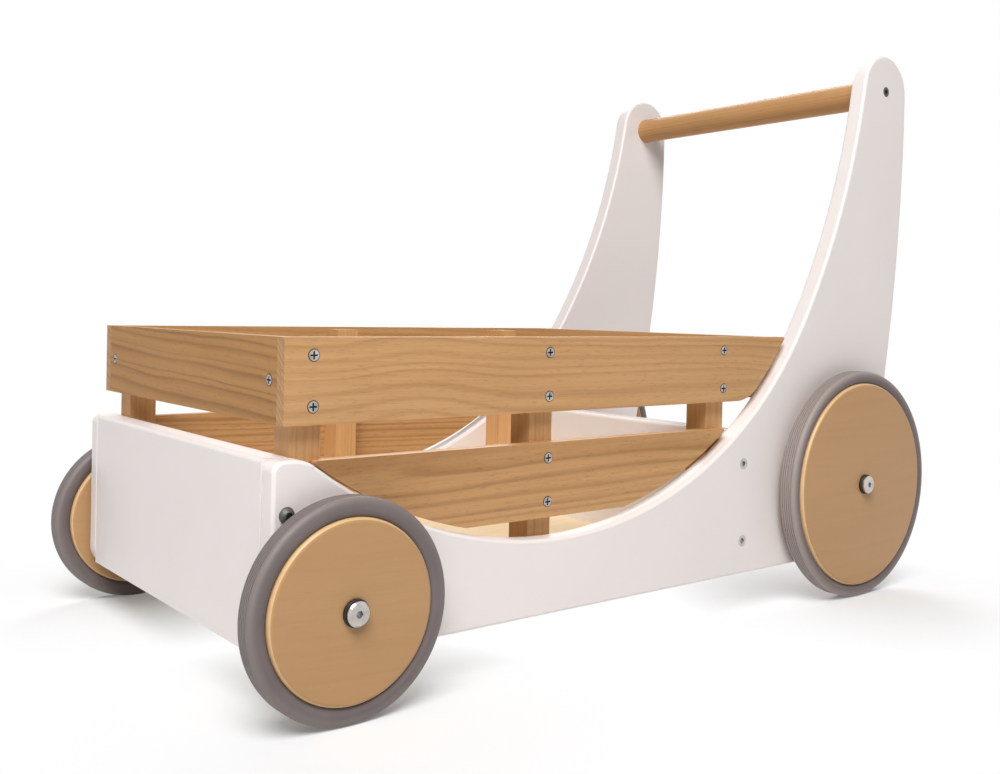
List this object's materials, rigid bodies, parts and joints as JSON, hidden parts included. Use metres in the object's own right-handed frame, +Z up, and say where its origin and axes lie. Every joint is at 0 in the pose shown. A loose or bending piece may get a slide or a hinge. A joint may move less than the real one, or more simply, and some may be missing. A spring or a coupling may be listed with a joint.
{
  "type": "baby push walker",
  "caption": "Wooden baby push walker: white side panels with a deep scoop, a slatted pine toy tray, a round push handle and rubber-tyred wooden wheels, larger at the rear.",
  "frame": {"origin": "floor level under the middle of the bounding box", "axes": "+X the way the walker is pushed, +Y its left side, +Z up"},
  "size_m": [0.662, 0.3664, 0.4724],
  "materials": {
    "white_paint": "satin white paint on board",
    "rail_pine": "clear satin lacquer on pine",
    "post_pine": "clear satin lacquer on pine",
    "birch_ply": "clear lacquer on plywood",
    "dowel_wood": "clear satin lacquer",
    "wheel_birch": "clear satin lacquer on birch",
    "tyre_rubber": "matt grey rubber",
    "black_nylon": "matt",
    "zinc_steel": "bright zinc",
    "satin_steel": "satin",
    "dark_steel": "dark satin",
    "nickel": "polished nickel plate"
  },
  "bodies": {
    "frame": {"left_panel": "white_paint", "right_panel": "white_paint", "front_board": "white_paint", "rear_board": "white_paint", "floor_board": "birch_ply", "handle_dowel": "dowel_wood", "front_left_post": "post_pine", "front_right_post": "post_pine", "middle_left_post": "post_pine", "middle_right_post": "post_pine", "rear_left_post": "post_pine", "rear_right_post": "post_pine", "left_upper_rail": "rail_pine", "right_upper_rail": "rail_pine", "left_lower_rail": "rail_pine", "right_lower_rail": "rail_pine", "front_rail": "rail_pine", "back_rail": "rail_pine", "side_rail_screws": "zinc_steel", "front_rail_screws": "zinc_steel", "back_rail_pins": "dowel_wood", "front_board_bolts": "dark_steel", "rear_board_bolts": "satin_steel", "barrel_nuts": "satin_steel", "handle_bolts": "dark_steel", "axle_bolts": "nickel", "axle_inserts": "satin_steel", "wheel_spacers": "black_nylon"},
    "front_left_wheel": {"front_left_disc": "wheel_birch", "front_left_tyre": "tyre_rubber", "front_left_bush": "black_nylon"},
    "front_right_wheel": {"front_right_disc": "wheel_birch", "front_right_tyre": "tyre_rubber", "front_right_bush": "black_nylon"},
    "rear_left_wheel": {"rear_left_disc": "wheel_birch", "rear_left_tyre": "tyre_rubber", "rear_left_bush": "black_nylon"},
    "rear_right_wheel": {"rear_right_disc": "wheel_birch", "rear_right_tyre": "tyre_rubber", "rear_right_bush": "black_nylon"}
  },
  "joints": [
    {"name": "front_left_spin", "type": "hinge", "parent": "frame", "child": "front_left_wheel", "pos_m": [0.266, 0.169, 0.065], "axis": [0, 1, 0], "continuous": true},
    {"name": "front_right_spin", "type": "hinge", "parent": "frame", "child": "front_right_wheel", "pos_m": [0.266, -0.169, 0.065], "axis": [0, 1, 0], "continuous": true},
    {"name": "rear_left_spin", "type": "hinge", "parent": "frame", "child": "rear_left_wheel", "pos_m": [-0.2355, 0.169, 0.0955], "axis": [0, 1, 0], "continuous": true},
    {"name": "rear_right_spin", "type": "hinge", "parent": "frame", "child": "rear_right_wheel", "pos_m": [-0.2355, -0.169, 0.0955], "axis": [0, 1, 0], "continuous": true}
  ]
}
